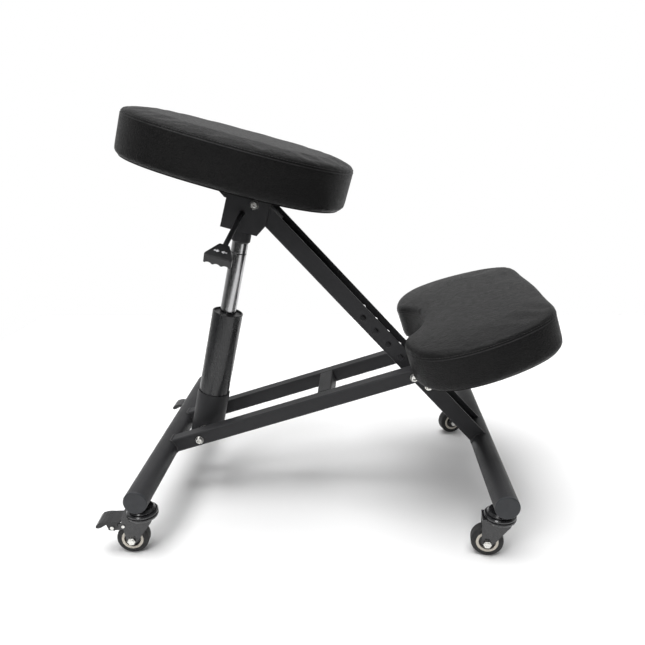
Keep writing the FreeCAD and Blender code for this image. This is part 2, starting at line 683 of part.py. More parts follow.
def knee_bracket():
    """Make the welded bracket: two gussets that stand in the channel and a plate under the knee board."""
    low = CHANNEL_LOW + CHANNEL_WALL + 1.0
    high = CHANNEL_HIGH
    bottom = -PLATE_THICKNESS
    corners = [
        DIAGONAL.point(-178, low), DIAGONAL.point(-137, low), DIAGONAL.point(-137, high),
        KNEE.point(108, bottom), KNEE.point(20, bottom), DIAGONAL.point(-178, high),
    ]
    outline = [(p.x, p.z) for p in corners]
    shape = KNEE.place(fillet_along(
        box(KNEE_PLATE_REAR, KNEE_PLATE_FRONT, -52, 52, bottom, 0), Z_AXIS, 8))
    for side in (-1, 1):
        inner, outer = sorted((side * (KNEE_GUSSET_Y - PLATE_THICKNESS), side * KNEE_GUSSET_Y))
        shape = shape.fuse(plate(outline, inner, outer))
    web = plate([
        (KNEE.point(60, bottom).x, KNEE.point(60, bottom).z),
        (DIAGONAL.point(-157, high).x, DIAGONAL.point(-157, high).z),
        (DIAGONAL.point(-154, high).x, DIAGONAL.point(-154, high).z),
        (KNEE.point(64, bottom).x, KNEE.point(64, bottom).z),
    ], PLATE_THICKNESS - KNEE_GUSSET_Y, KNEE_GUSSET_Y - PLATE_THICKNESS)
    shape = shape.fuse(web)
    for rise in KNEE_BOLT_RISES:
        shape = shape.cut(DIAGONAL.place(cylinder(3.0, 100, Vector(-rise, -50, 0), Y_AXIS)))
    for x, y in KNEE_PLATE_BOLTS:
        for side in (-1, 1):
            shape = shape.cut(KNEE.place(cylinder(3.0, 10, Vector(x, side * y, -6), Z_AXIS)))
    return shape.removeSplitter()


def knee_bracket_bolts():
    bolts = []
    for rise in KNEE_BOLT_RISES:
        bolt = cross_bolt(CHANNEL_WIDTH / 2, 3.0, 5.5, 6.5, 4.0)
        bolt.translate(DIAGONAL.point(-rise, 0))
        bolts.append(bolt)
    return group(bolts)


# ---------- casters ----------
def stem_place(name):
    """Return the point on the floor under a caster's stem."""
    row, side, swivel = CASTERS[name]
    tube_x = REAR_TUBE_X if row == "rear" else FRONT_TUBE_X
    forward, out = STEM_PLACES[row]
    return Vector(tube_x + forward, side * out, 0)


def caster_frame(shape, name):
    """Move a shape from a caster's own frame, whose Z axis is the stem, to its foot tube."""
    shape = shape.copy()
    shape.rotate(ZERO, Z_AXIS, CASTERS[name][2])
    shape.translate(stem_place(name))
    return shape


def caster_stems(row):
    """Make the two threaded stems of a foot tube, each with its upper race and its nut inside the tube."""
    shapes = []
    for name, (caster_row, side, swivel) in CASTERS.items():
        if caster_row != row:
            continue
        tube_bottom = TUBE_Z - TUBE_R
        stem = revolve_z([
            (0, 57.6), (8.0, 57.6), (8.0, 59.8), (STEM_R, 59.8), (STEM_R, HEAD_TOP + 0.3),
            (RACE_R, HEAD_TOP + 0.3), (RACE_R, 74.6), (RACE_R - 3, tube_bottom), (STEM_R, tube_bottom),
            (STEM_R, 98), (0, 98),
        ])
        nut = hexagon(16.0, 7.0, Vector(0, 0, NUT_BOTTOM), Z_AXIS).cut(cylinder(STEM_R, 7, Vector(0, 0, NUT_BOTTOM), Z_AXIS))
        shapes.append(caster_frame(stem, name))
        shapes.append(caster_frame(nut, name))
    return group(shapes)


def caster_fork(name):
    """Make the swivel head with its two legs. Rear forks have ears that hold the brake."""
    head = revolve_z([
        (STEM_R + 0.05, 60.4), (19, 60.4), (HEAD_R - 1, HEAD_BOTTOM), (HEAD_R, 64), (HEAD_R, 66),
        (HEAD_R - 2, 67), (HEAD_R - 2, 67.6), (HEAD_R, 68.6), (HEAD_R, 70.6), (HEAD_R - 1.5, HEAD_TOP),
        (STEM_R + 0.05, HEAD_TOP),
    ])
    rear = -31.0 if name.startswith("rear") else -27.3
    leg = [
        (rear, SHELF_TOP), (-18, SHELF_TOP), (18, HEAD_BOTTOM + 1), (15, 56), (7.5 - TRAIL, 21.5),
        (5.2 - TRAIL, 18.7), (-TRAIL, 16.5), (-5.2 - TRAIL, 18.7), (-8.4 - TRAIL, 24.0),
    ]
    if name.startswith("rear"):
        leg += [(-29, 44.8), (-52, 44.8), (-52.5, 50), (-48, 56), (rear, 56)]
    fork = head
    for side in (-1, 1):
        low, high = sorted((side * LEG_INNER, side * (LEG_INNER + LEG_THICKNESS)))
        fork = fork.fuse(plate(leg, low, high))
    bridge = box(rear, 14, -LEG_INNER, LEG_INNER, 60.4, 63)
    bridge = bridge.cut(cylinder(9, 10, Vector(0, 0, 55), Z_AXIS))
    shelf = box(rear, -18, -LEG_INNER, LEG_INNER, 60.4, SHELF_TOP)
    fork = fork.fuse(bridge).fuse(shelf).removeSplitter()
    fork = fork.cut(cylinder(AXLE_R, 60, Vector(-TRAIL, -30, WHEEL_R), Y_AXIS))
    fork = fork.cut(cylinder(2.5, 60, Vector(BRAKE_PIVOT[0], -30, BRAKE_PIVOT[1]), Y_AXIS))
    return caster_frame(fork, name)


def caster_axle(name):
    """Make the axle bolt and its nut. Rear casters also carry the two brake rivets here."""
    outer = LEG_INNER + LEG_THICKNESS
    bolt = cylinder(AXLE_R, 2 * outer + 5, Vector(-TRAIL, -outer - 5, WHEEL_R), Y_AXIS)
    head = hexagon(11.0, 4, Vector(-TRAIL, outer, WHEEL_R), Y_AXIS)
    nut = hexagon(11.0, 4, Vector(-TRAIL, -outer - 4, WHEEL_R), Y_AXIS)
    nut = nut.cut(cylinder(AXLE_R, 5, Vector(-TRAIL, -outer - 4.5, WHEEL_R), Y_AXIS))
    shapes = [bolt.fuse(head), nut]
    if name.startswith("rear"):
        spread = outer + 2.3
        x, z = BRAKE_PIVOT
        pin = cylinder(2.5, 2 * spread, Vector(x, -spread, z), Y_AXIS)
        for side in (-1, 1):
            pin = pin.fuse(cylinder(2.9, 1.4, Vector(x, side * spread, z), Vector(0, side, 0)))
        shapes.append(pin)
        for side in (-1, 1):
            rivet = cylinder(2.5, 1.4, Vector(-28.6, side * outer, 51.0), Vector(0, side, 0))
            shapes.append(rivet)
    return caster_frame(group(shapes), name)


def tyre(name):
    half = WHEEL_WIDTH / 2
    outer = cylinder(WHEEL_R, WHEEL_WIDTH, Vector(-TRAIL, -half, WHEEL_R), Y_AXIS)
    rims = [e for e in outer.Edges if e.Closed and e.BoundBox.YMax - e.BoundBox.YMin < 0.01]
    outer = outer.makeFillet(4.0, rims)
    bore = cylinder(HUB_RIM_R, WHEEL_WIDTH, Vector(-TRAIL, -half, WHEEL_R), Y_AXIS)
    return caster_frame(outer.cut(bore), name)


def wheel_hub(name):
    """Make the wheel's core: a rim ring, a recessed web on both sides and a bored boss."""
    half = WHEEL_WIDTH / 2
    hub = cylinder(HUB_RIM_R, WHEEL_WIDTH, Vector(-TRAIL, -half, WHEEL_R), Y_AXIS)
    for side in (-1, 1):
        out = Vector(0, side, 0)
        recess = ring(HUB_RIM_R - 4, 7.0, 6, Vector(-TRAIL, side * (half - 4), WHEEL_R), out)
        hub = hub.cut(recess)
    hub = hub.cut(cylinder(AXLE_R + RUNNING, WHEEL_WIDTH, Vector(-TRAIL, -half, WHEEL_R), Y_AXIS))
    return caster_frame(hub, name)


def brake_pedal(name):
    """Make the brake pedal: a tread with a rounded nose, cheeks on the pivot pin, and a leaf that grips the tyre."""
    tread = [
        (-32, 61.0), (-46, 60.7), (-54, 61.2), (-60, 60.4), (-66, 58.6), (-70, 54.8), (-71, 51.6), (-69.5, 49.8),
        (-66.5, 49.6), (-62, 51.2), (-56, 54.6), (-52, 57.6), (-32, 58.4),
    ]
    x, z = BRAKE_PIVOT
    cheek = [(-36, 60), (-37.5, 50), (-40.5, 45.6), (-49, 45.6), (-52.5, 51), (-55, 58.5)]
    inner = LEG_INNER + LEG_THICKNESS + 0.3
    outer = inner + 1.6
    pedal = plate(tread, -outer, outer)
    for side in (-1, 1):
        low, high = sorted((side * inner, side * outer))
        pedal = pedal.fuse(plate(cheek, low, high))
    block_half = LEG_INNER - 0.6
    block = plate([(-49, 46.5), (-49.5, 59.5), (-41.5, 59.5), (-41.5, 46.5)], -block_half, block_half)
    leaf = plate([(-45.6, 47.5), (-48.2, 36.2), (-46.8, 35.8), (-44, 47.5)], -3, 3)
    pedal = pedal.fuse(block).fuse(leaf).removeSplitter()
    pedal = pedal.cut(cylinder(2.5 + RUNNING, 60, Vector(x, -30, z), Y_AXIS))
    return caster_frame(pedal, name)


# ---------- build ----------
def build_parts():
    grip = RAIL_Y + RAIL_SIZE / 2
    parts = {
        "rear_foot_tube": foot_tube(REAR_TUBE_X, "rear"),
        "rear_tube_caps": tube_caps(REAR_TUBE_X),
        "right_rail": rail(-1),
        "left_rail": rail(1),
        "rail_cross_bar": cross_bar(),
        "rail_end_plugs": rail_end_plugs(),
        "lower_pivot_bolt": bolt_at(LOWER_PIVOT, grip),
        "front_pivot_bolt": bolt_at(FRONT_PIVOT, grip),
        "front_pivot_spacers": front_pivot_spacers(),
        "column_socket": column_socket(),
        "column_pivot_tube": column_pivot_tube(),
        "gas_outer_tube": gas_outer_tube(),
        "guide_bush": guide_bush(),
        "piston_rod": piston_rod(),
        "rod_clip": rod_clip(),
        "thrust_bearing": thrust_bearing(),
        "gas_cylinder": gas_cylinder(),
        "release_pin": release_pin(),
        "cone_hub": cone_hub(),
        "seat_bracket": seat_bracket(),
        "seat_mount_plate": seat_mount_plate(),
        "seat_plate_bolts": plate_bolts(SEAT, PLATE_BOLTS, PLATE_BOTTOM, 14.0),
        "seat_tee_nuts": tee_nuts(SEAT, PLATE_BOLTS, SEAT_BASE),
        "seat_board": board(SEAT, oval, SEAT_BASE, PLATE_BOLTS),
        "seat_cushion": padded_cushion(SEAT, oval, SEAT_BASE, SEAT_THICKNESS),
        "seat_pivot_bolt": bolt_at(SEAT_PIVOT, CHEEK_OUTER),
        "seat_pivot_spacer": seat_pivot_spacer(),
        "lift_lever_rod": lever_rod(),
        "lift_lever_grip": lever_grip(),
        "diagonal_channel": diagonal_channel(),
        "channel_top_cover": channel_top_cover(),
        "front_pivot_bushes": front_pivot_bushes(),
        "front_foot_tube": foot_tube(FRONT_TUBE_X, "front"),
        "front_tube_caps": tube_caps(FRONT_TUBE_X),
        "knee_bracket": knee_bracket(),
        "knee_bracket_bolts": knee_bracket_bolts(),
        "knee_plate_bolts": plate_bolts(KNEE, KNEE_PLATE_BOLTS, -PLATE_THICKNESS, 14.0),
        "knee_tee_nuts": tee_nuts(KNEE, KNEE_PLATE_BOLTS, 0.0),
        "knee_board": board(KNEE, kidney, 0.0, KNEE_PLATE_BOLTS),
        "knee_cushion": padded_cushion(KNEE, kidney, 0.0, KNEE_THICKNESS),
        "rear_caster_stems": caster_stems("rear"),
        "front_caster_stems": caster_stems("front"),
    }
    for name in CASTERS:
        parts[name + "_fork"] = caster_fork(name)
        parts[name + "_axle"] = caster_axle(name)
        parts[name + "_tyre"] = tyre(name)
        parts[name + "_hub"] = wheel_hub(name)
        if name.startswith("rear"):
            parts[name + "_brake"] = brake_pedal(name)
    return parts


def main():
    os.makedirs("parts", exist_ok=True)
    bounds = FreeCAD.BoundBox()
    for name, shape in build_parts().items():
        if not shape.isValid():
            print("not valid:", name)
        shape.exportStep("parts/" + name + ".step")
        bounds.add(shape.BoundBox)
    print("box x %.1f %.1f  y %.1f %.1f  z %.1f %.1f" % (
        bounds.XMin, bounds.XMax, bounds.YMin, bounds.YMax, bounds.ZMin, bounds.ZMax))
    for label, point in (("seat pivot", SEAT_PIVOT), ("front pivot", FRONT_PIVOT), ("lower pivot", LOWER_PIVOT)):
        print("%s %.3f %.3f" % (label, point.x, point.z))
    print("seat pivot in the column's frame %.3f %.3f" % COLUMN.local(SEAT_PIVOT))


main()
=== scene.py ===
import json
import math
import bmesh
import bpy
from mathutils import Matrix, Vector
from mathutils.bvhtree import BVHTree


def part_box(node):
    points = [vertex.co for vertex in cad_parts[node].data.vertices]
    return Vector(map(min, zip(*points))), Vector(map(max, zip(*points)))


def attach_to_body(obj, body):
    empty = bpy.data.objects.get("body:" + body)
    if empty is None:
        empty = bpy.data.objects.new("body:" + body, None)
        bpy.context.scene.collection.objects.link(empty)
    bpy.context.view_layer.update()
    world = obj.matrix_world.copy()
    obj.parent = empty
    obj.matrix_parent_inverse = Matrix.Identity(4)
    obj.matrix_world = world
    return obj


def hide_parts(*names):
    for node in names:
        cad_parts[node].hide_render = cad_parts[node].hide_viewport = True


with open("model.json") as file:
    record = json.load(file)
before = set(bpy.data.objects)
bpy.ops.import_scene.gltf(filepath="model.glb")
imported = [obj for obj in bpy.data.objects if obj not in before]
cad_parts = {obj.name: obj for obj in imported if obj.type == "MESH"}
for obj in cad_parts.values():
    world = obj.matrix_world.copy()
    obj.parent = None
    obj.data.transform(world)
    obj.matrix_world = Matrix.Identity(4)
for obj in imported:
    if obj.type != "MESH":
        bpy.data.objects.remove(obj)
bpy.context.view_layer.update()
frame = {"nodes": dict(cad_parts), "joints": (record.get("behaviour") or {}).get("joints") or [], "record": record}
scene = bpy.context.scene
nodes = frame["nodes"]
record = frame["record"]
mounts = {m["name"]: m for m in record["mounts"]}
joints = {j["name"]: j for j in frame["joints"]}

MM = 0.001

# ---------- camera ----------
CAMERA_AT = Vector((0.0496, -1.0808, 0.6434))
CAMERA_YAW = -0.05945
CAMERA_PITCH = 0.29686
CAMERA_ROLL = -0.01992
FOCAL_RATIO = 0.99433            # focal length over image width
SENSOR = 36.0

# ---------- cushions, in each pad's own frame: top centre, +X forwards, +Z out of the top ----------
SEAT_LENGTH = 381 * MM
SEAT_WIDTH = 320 * MM
SEAT_TAPER = 9 * MM              # how much wider the half seat is at its front than in its middle
SEAT_POWER = 2.35                # 2 would be an ellipse, larger is squarer
SEAT_THICKNESS = 75.4 * MM
KNEE_THICKNESS = 66 * MM
KNEE_OUTLINE = [(-83.5, 0), (-113, 74), (-126.5, 94), (-90, 196), (84, 174), (106, 92), (109, 0)]
PAD_OUTSET = 0.5 * MM            # how far the unswollen pad stands outside the outline
BOTTOM_ROUND = 9 * MM
BOTTOM_HOLD = 4 * MM             # the board holds the pad still below this height
WALL_RISES = (20 * MM, 32 * MM)  # rings round the side wall, up from the pad's bottom
WALL_TOP = -30 * MM              # the last ring, down from the pad's top
TOP_ROUND = 10 * MM
TOP_EDGE = -1.5 * MM             # height where the top's rounded edge ends
CROWN = [(20 * MM, -1.3 * MM), (40 * MM, -1.1 * MM)]    # (distance in from the side, height)
VOXEL = 5 * MM
SWELL_LIMIT = 4 * MM
PRESSURE = 4.0
SEAM_DROP = 13 * MM              # from the pad's top down to its seam
SEAM_HOLD = 2.6 * MM             # half the height of the band that the seam holds still
SEAM_SUNK = 0.25 * MM
WELT_R = 0.8 * MM
STITCH_DROP = 9.5 * MM
STITCH_PITCH = 8.8 * MM
STITCH_LENGTH = 3.0 * MM
THREAD_R = 0.3 * MM

# ---------- hems and staples under the boards ----------
HEM_INSET = 7 * MM
HEM_WIDTH = 16 * MM
HEM_THICKNESS = 1.1 * MM
STAPLE_LINE = 0.62               # share of the hem's width
STAPLE_DROP = 1.25 * MM
STAPLE_HALF = 5 * MM
STAPLE_LEG = 1.6 * MM
STAPLE_R = 0.4 * MM
STAPLE_STEP = 9                  # outline points from one staple to the next
NOTCH_HALF = 62 * MM             # the knee pad's hem stops this far each side of the middle

# ---------- frame sizes that the weld beads follow ----------
TUBE_R = 19 * MM
RAIL_SIZE = 25 * MM
RAIL_ROUND = 3 * MM
RAIL_LIFT = 1.6 * MM
CHANNEL_WIDTH = 70 * MM
CHANNEL_LOW = -13.55 * MM
CHANNEL_HIGH = 15.95 * MM
BEAD_R = 1.7 * MM
BEAD_PROUD = 0.4 * MM
BEAD_SIDES = 8
BEAD_STEPS = 14                  # points along each wall of the channel

# ---------- marks in the materials ----------
GROOVE_HEIGHT = 331 * MM         # up the column from its lower pivot
HUB_CORE_R = 13 * MM             # the wheel hub is painted near-black inside this, as shade in its recess, and cream outside

# ---------- arrow mark ----------
ARROW = [(10, -1.6), (5.6, -1.6), (5.6, -4), (1.2, 0), (5.6, 4), (5.6, 1.6), (10, 1.6)]
MARK_GAP = 0.05 * MM
MARK_HEIGHT = 0.25 * MM


# ---------- node helpers ----------
class Shader:
    """A short way to build a Principled material from procedural nodes in object coordinates."""

    def __init__(self, name):
        self.material = bpy.data.materials.new(name)
        self.material.use_nodes = True
        self.tree = self.material.node_tree
        self.bsdf = self.tree.nodes["Principled BSDF"]
        self.coords = self.tree.nodes.new("ShaderNodeTexCoord").outputs["Object"]

    def set(self, **values):
        for key, value in values.items():
            self.bsdf.inputs[key.replace("_", " ")].default_value = value

    def link(self, source, target):
        self.tree.links.new(source, target)

    def stretched(self, scale):
        node = self.tree.nodes.new("ShaderNodeMapping")
        node.inputs["Scale"].default_value = scale
        self.link(self.coords, node.inputs["Vector"])
        return node.outputs["Vector"]

    def noise(self, scale, detail=3.0, rough=0.5, vector=None, distortion=0.0):
        node = self.tree.nodes.new("ShaderNodeTexNoise")
        node.inputs["Scale"].default_value = scale
        node.inputs["Detail"].default_value = detail
        node.inputs["Roughness"].default_value = rough
        node.inputs["Distortion"].default_value = distortion
        self.link(vector or self.coords, node.inputs["Vector"])
        return node.outputs["Fac"]

    def cells(self, scale, feature="F1", smooth=0.0, vector=None):
        node = self.tree.nodes.new("ShaderNodeTexVoronoi")
        node.feature = feature
        node.inputs["Scale"].default_value = scale
        if feature == "SMOOTH_F1":
            node.inputs["Smoothness"].default_value = smooth
        self.link(vector or self.coords, node.inputs["Vector"])
        return node.outputs["Distance"]

    def spread(self, value, low, high, out_low=0.0, out_high=1.0):
        node = self.tree.nodes.new("ShaderNodeMapRange")
        node.inputs["From Min"].default_value = low
        node.inputs["From Max"].default_value = high
        node.inputs["To Min"].default_value = out_low
        node.inputs["To Max"].default_value = out_high
        self.link(value, node.inputs["Value"])
        return node.outputs["Result"]

    def math(self, operation, a, b=None):
        node = self.tree.nodes.new("ShaderNodeMath")
        node.operation = operation
        for socket, value in zip(node.inputs, (a, b)):
            if value is None:
                continue
            if isinstance(value, (int, float)):
                socket.default_value = value
            else:
                self.link(value, socket)
        return node.outputs["Value"]

    def mix(self, fac, a, b):
        node = self.tree.nodes.new("ShaderNodeMix")
        node.data_type = "RGBA"
        self.link(fac, node.inputs["Factor"])
        for socket, value in ((node.inputs["A"], a), (node.inputs["B"], b)):
            if isinstance(value, tuple):
                socket.default_value = (*value, 1.0)
            else:
                self.link(value, socket)
        return node.outputs["Result"]

    def color(self, value):
        self.link(value, self.bsdf.inputs["Base Color"])

    def rough(self, value):
        self.link(value, self.bsdf.inputs["Roughness"])

    def bump(self, height, distance, strength=1.0, under=None):
        node = self.tree.nodes.new("ShaderNodeBump")
        node.inputs["Distance"].default_value = distance
        node.inputs["Strength"].default_value = strength
        self.link(height, node.inputs["Height"])
        if under is not None:
            self.link(under, node.inputs["Normal"])
        self.link(node.outputs["Normal"], self.bsdf.inputs["Normal"])
        return node.outputs["Normal"]

    def vector(self, operation, a, b=None):
        """Vector arithmetic on a node's output and, where the operation needs one, a fixed vector."""
        node = self.tree.nodes.new("ShaderNodeVectorMath")
        node.operation = operation
        self.link(a, node.inputs[0])
        if b is not None:
            node.inputs[1].default_value = b
        single = operation in ("LENGTH", "DOT_PRODUCT")
        return node.outputs["Value" if single else "Vector"]

    def axis(self, name):
        node = self.tree.nodes.new("ShaderNodeSeparateXYZ")
        self.link(self.coords, node.inputs["Vector"])
        return node.outputs[name]

    def edges(self):
        # Painted highlight: a mask of convex edges, found by pointiness, that lightens the colour where rounded
        # edges would catch light.
        node = self.tree.nodes.new("ShaderNodeNewGeometry")
        return self.spread(node.outputs["Pointiness"], 0.50, 0.56)


def powder_coat():
    s = Shader("powder_coat_black")
    s.set(Specular_IOR_Level=0.16)
    mottle = s.spread(s.noise(38, 4), 0.3, 0.7)
    base = s.mix(mottle, (0.0095, 0.0098, 0.0106), (0.0145, 0.0148, 0.016))
    # Painted highlight: convex edges are lightened towards grey in the colour, standing in for light caught on
    # rounded edges.
    s.color(s.mix(s.edges(), base, (0.035, 0.035, 0.037)))
    s.rough(s.spread(s.noise(30, 3), 0.3, 0.7, 0.40, 0.50))
    s.bump(s.noise(1500, 2, 0.6), 0.00025, 0.5)
    return s.material


def semi_gloss_tube():
    s = Shader("gas_tube_black")
    s.set(Specular_IOR_Level=0.55)
    s.color(s.mix(s.spread(s.noise(60, 3), 0.3, 0.7), (0.011, 0.0115, 0.0125), (0.017, 0.0175, 0.019)))
    streaks = s.noise(220, 3, 0.6, s.stretched((1.0, 1.0, 0.05)))
    s.rough(s.spread(streaks, 0.3, 0.7, 0.24, 0.32))
    s.bump(s.noise(900, 2), 0.00012, 0.3)
    return s.material


def caster_gloss():
    s = Shader("caster_gloss_black")
    s.set(Specular_IOR_Level=0.6, Coat_Weight=0.3, Coat_Roughness=0.12)
    s.color(s.mix(s.spread(s.noise(120, 3), 0.3, 0.7), (0.008, 0.008, 0.009), (0.016, 0.016, 0.018)))
    s.rough(s.spread(s.noise(90, 4), 0.3, 0.7, 0.2, 0.34))
    s.bump(s.noise(700, 2), 0.00015, 0.35)
    return s.material


def polished_steel(start, axis):
    """Chromed steel with fine lines along its length, and one turned groove at a height up the column, drawn as a
    bump with painted shade in the colour.
    """
    s = Shader("chrome_cylinder")
    s.set(Metallic=1.0)
    lines = s.noise(900, 3, 0.6, s.stretched((1.0, 1.0, 0.04)))
    shine = s.mix(s.spread(lines, 0.3, 0.7), (0.36, 0.36, 0.365), (0.48, 0.48, 0.485))
    climb = s.vector("DOT_PRODUCT", s.vector("SUBTRACT", s.coords, start), axis)
    near = s.math("ABSOLUTE", s.math("SUBTRACT", climb, GROOVE_HEIGHT))
    groove = s.spread(near, 0.0004, 0.0009, 1.0, 0.0)
    # Painted shade: the groove is a near-black ring in the colour, standing in for the shade inside it.
    s.color(s.mix(groove, shine, (0.05, 0.05, 0.05)))
    s.rough(s.spread(lines, 0.3, 0.7, 0.16, 0.24))
    s.bump(s.math("SUBTRACT", s.math("MULTIPLY", lines, 0.1), groove), 0.0005, 0.6)
    return s.material


def zinc_plate():
    s = Shader("zinc_plate")
    s.set(Metallic=1.0)
    s.color(s.mix(s.spread(s.noise(500, 4), 0.3, 0.7), (0.62, 0.61, 0.57), (0.82, 0.82, 0.80)))
    s.rough(s.spread(s.noise(320, 3), 0.3, 0.7, 0.2, 0.36))
    s.bump(s.noise(1400, 2), 0.0001, 0.3)
    return s.material


def moulded_plastic(name, low, high, roughness, grain=1800):
    s = Shader(name)
    s.set(Specular_IOR_Level=0.45)
    s.color(s.mix(s.spread(s.noise(70, 4), 0.3, 0.7), low, high))
    s.rough(s.spread(s.noise(45, 3), 0.3, 0.7, roughness - 0.05, roughness + 0.05))
    s.bump(s.noise(grain, 2, 0.6), 0.0002, 0.5)
    return s.material


def tyre_rubber():
    s = Shader("tyre_rubber")
    s.set(Specular_IOR_Level=0.35)
    dust = s.spread(s.noise(260, 5, 0.65), 0.42, 0.75)
    s.color(s.mix(dust, (0.012, 0.012, 0.013), (0.032, 0.031, 0.03)))
    s.rough(s.spread(s.noise(80, 3), 0.3, 0.7, 0.5, 0.66))
    s.bump(s.noise(1100, 3), 0.0003, 0.5)
    return s.material


def wheel_plastic(name, joint):
    """Cream rim ring round a near-black core, told apart by the distance from the axle; the core's dark colour is
    painted shade for the hub's recess.
    """
    s = Shader("wheel_" + name)
    offset = s.vector("SUBTRACT", s.coords, Vector(joint["pos_m"]))
    radius = s.vector("LENGTH", s.vector("CROSS_PRODUCT", offset, Vector(joint["axis"])))
    ring = s.spread(radius, HUB_CORE_R - 0.2 * MM, HUB_CORE_R + 0.2 * MM)
    cream = s.mix(s.spread(s.noise(180, 4), 0.3, 0.7), (0.50, 0.46, 0.39), (0.62, 0.58, 0.51))
    # Painted shade: inside HUB_CORE_R the colour is near-black, standing in for the shaded recess of the hub.
    s.color(s.mix(ring, (0.014, 0.014, 0.015), cream))
    s.rough(s.spread(s.noise(120, 3), 0.3, 0.7, 0.38, 0.5))
    s.bump(s.noise(900, 2), 0.00015, 0.4)
    return s.material


def dust_cloth():
    """Black non-woven cloth, the kind that is stapled under upholstered boards."""
    s = Shader("non_woven_cloth")
    dots = s.cells(520)
    fibres = s.noise(900, 5, 0.7)
    s.set(Specular_IOR_Level=0.2, Sheen_Weight=0.25)
    s.color(s.mix(s.spread(fibres, 0.3, 0.7), (0.012, 0.012, 0.013), (0.03, 0.03, 0.031)))
    s.rough(s.spread(fibres, 0.3, 0.7, 0.8, 0.95))
    s.bump(s.math("ADD", s.math("MULTIPLY", dots, 0.6), s.math("MULTIPLY", fibres, 0.4)), 0.0005, 0.7)
    return s.material


def leather(name):
    """Black grained leather, with the seam's crease at its height in the pad's own frame; the grain's hollows and
    the crease carry painted shade.
    """
    s = Shader(name)
    s.set(Specular_IOR_Level=0.17)
    warped = s.stretched((1.0, 1.0, 1.25))
    pebble = s.cells(560, "SMOOTH_F1", 0.6, warped)
    folds = s.noise(150, 5, 0.62, s.stretched((0.8, 0.8, 2.2)), 0.9)
    pores = s.noise(1500, 2, 0.5)
    tone = s.spread(s.noise(16, 4, 0.6), 0.3, 0.7)
    base = s.mix(tone, (0.0065, 0.0065, 0.0068), (0.011, 0.0107, 0.0105))
    # Painted shade: the hollows of the pebble grain are darkened in the colour.
    grain_hollow_shade = s.spread(pebble, 0.25, 0.8)
    shade = s.mix(grain_hollow_shade, base, (0.0035, 0.0035, 0.0038))
    near = s.math("ABSOLUTE", s.math("SUBTRACT", s.axis("Z"), -SEAM_DROP))
    seam_groove_and_shade = s.spread(near, 0.0, 0.0011, 1.0, 0.0)
    # Painted shade: a dark line in the colour along the seam's crease, where the groove would be shaded; the same
    # mask also sinks the groove as a bump.
    s.color(s.mix(seam_groove_and_shade, shade, (0.004, 0.004, 0.0045)))
    s.rough(s.spread(folds, 0.3, 0.7, 0.36, 0.5))
    grain = s.math("ADD", s.math("MULTIPLY", pebble, -0.55), s.math("MULTIPLY", folds, 0.9))
    grain = s.math("ADD", grain, s.math("MULTIPLY", pores, 0.1))
    first = s.bump(grain, 0.0015, 0.7)
    s.bump(s.math("MULTIPLY", seam_groove_and_shade, -1.0), 0.0012, 0.9, first)
    return s.material


def thread():
    s = Shader("waxed_thread")
    twist = s.noise(2600, 2, 0.5, s.stretched((1.0, 1.0, 3.0)))
    s.color(s.mix(s.spread(twist, 0.3, 0.7), (0.012, 0.012, 0.012), (0.05, 0.05, 0.05)))
    s.rough(s.spread(twist, 0.3, 0.7, 0.45, 0.6))
    s.bump(twist, 0.0001, 0.6)
    return s.material


def weld_steel():
    s = Shader("painted_weld")
    ripple = s.noise(420, 2, 0.5, None, 0.6)
    s.color(s.mix(s.spread(ripple, 0.3, 0.7), (0.016, 0.016, 0.017), (0.03, 0.03, 0.031)))
    s.rough(s.spread(ripple, 0.3, 0.7, 0.32, 0.46))
    s.bump(ripple, 0.0006, 0.7)
    return s.material


# ---------- materials on the CAD nodes ----------
def paint(material, *names):
    for name in names:
        for slot in nodes[name].material_slots:
            slot.material = material


COAT = powder_coat()
GLOSS = caster_gloss()
ZINC = zinc_plate()
LIFT_AXIS = Vector(joints["seat_lift"]["axis"]).normalized()
CHROME = polished_steel(Vector(joints["column_pivot"]["pos_m"]), LIFT_AXIS)
CAP = moulded_plastic("cap_plastic", (0.018, 0.0195, 0.023), (0.025, 0.027, 0.031), 0.5)
BLACK_PLASTIC = moulded_plastic("lever_plastic", (0.010, 0.010, 0.011), (0.018, 0.018, 0.019), 0.38, 2200)
PEDAL = moulded_plastic("pedal_plastic", (0.010, 0.010, 0.011), (0.017, 0.017, 0.018), 0.3)
BUSH = moulded_plastic("bush_plastic", (0.05, 0.05, 0.052), (0.09, 0.09, 0.092), 0.4)

paint(COAT, *nodes)
paint(semi_gloss_tube(), "gas_outer_tube")
paint(CHROME, "gas_cylinder", "piston_rod")
paint(ZINC, "lower_pivot_bolt", "front_pivot_bolt", "front_pivot_spacers")
paint(ZINC, "seat_pivot_bolt", "seat_pivot_spacer")
paint(ZINC, "seat_plate_bolts", "seat_tee_nuts", "knee_bracket_bolts", "knee_plate_bolts", "knee_tee_nuts")
paint(ZINC, "rod_clip", "thrust_bearing", "release_pin", "column_pivot_tube")
paint(CAP, "rear_tube_caps", "front_tube_caps", "rail_end_plugs")
paint(BLACK_PLASTIC, "lift_lever_grip")
paint(PEDAL, "rear_right_brake", "rear_left_brake")
paint(BUSH, "guide_bush", "front_pivot_bushes")
paint(GLOSS, "rear_caster_stems", "front_caster_stems")
paint(dust_cloth(), "seat_board", "knee_board")
WELT = moulded_plastic("seam_welt", (0.006, 0.006, 0.0065), (0.012, 0.012, 0.0125), 0.5, 2600)
RUBBER = tyre_rubber()
CASTERS = ("rear_right", "rear_left", "front_right", "front_left")
for caster in CASTERS:
    paint(GLOSS, caster + "_fork")
    paint(ZINC, caster + "_axle")
    paint(RUBBER, caster + "_tyre")
    paint(wheel_plastic(caster, joints[caster + "_roll"]), caster + "_hub")


